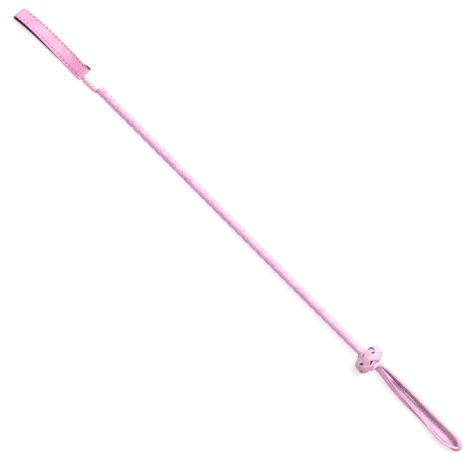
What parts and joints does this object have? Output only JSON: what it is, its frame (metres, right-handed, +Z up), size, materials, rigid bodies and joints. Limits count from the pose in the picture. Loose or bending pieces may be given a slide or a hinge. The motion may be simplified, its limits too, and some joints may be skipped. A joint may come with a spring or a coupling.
{
  "type": "riding crop",
  "caption": "Short riding crop: plaited leather shaft on a springy core, folded stitched tongue on a whipped thong, woven ball knot and flat leather wrist loop.",
  "frame": {"origin": "on the surface that the crop lies on, under the middle of its bounding box", "axes": "+X along the shaft from the tongue to the wrist loop, +Z up"},
  "size_m": [0.672, 0.0326, 0.0338],
  "materials": {
    "pink_leather": "satin pink leather, fine grain",
    "pale_leather": "satin pale pink leather",
    "pink_lining": "smooth pink lining leather",
    "lining_maroon": "dark maroon flesh side",
    "sewing_thread": "twisted polyester thread",
    "whipping_thread": "waxed pale salmon thread",
    "fibreglass": "pultruded fibreglass",
    "paper_tape": "wound paper tape"
  },
  "bodies": {
    "crop": {"core_rod": "fibreglass", "core_wrap": "paper_tape", "plait_strand_1": "pink_leather", "plait_strand_2": "pink_leather", "plait_strand_3": "pink_leather", "plait_strand_4": "pink_leather", "tip_thong": "pink_leather", "tip_whipping": "whipping_thread", "butt_binding": "paper_tape", "knot_former": "paper_tape", "turks_head_strand": "pink_leather", "butt_collar": "pale_leather", "strap_tail_left": "pink_leather", "strap_tail_right": "pink_leather"},
    "tongue": {"tongue_face": "pink_leather", "tongue_lining": "lining_maroon", "tongue_tail": "pink_leather", "tongue_thread_left": "sewing_thread", "tongue_thread_right": "sewing_thread", "tongue_cross_thread": "sewing_thread"},
    "wrist_loop": {"wrist_strap_face": "pink_leather", "wrist_strap_lining": "pink_lining", "wrist_thread_upper": "sewing_thread", "wrist_thread_lower": "sewing_thread"}
  },
  "joints": [
    {"name": "tongue_flex", "type": "hinge", "parent": "crop", "child": "tongue", "pos_m": [-0.2364, 0, 0.0024], "axis": [0, 1, 0], "range_deg": [-60, 60], "stiffness_Nm_per_rad": 0.15},
    {"name": "loop_swing", "type": "hinge", "parent": "crop", "child": "wrist_loop", "pos_m": [0.212, 0.0006, 0.0169], "axis": [0, 0, 1], "range_deg": [-40, 40], "stiffness_Nm_per_rad": 0.05}
  ]
}
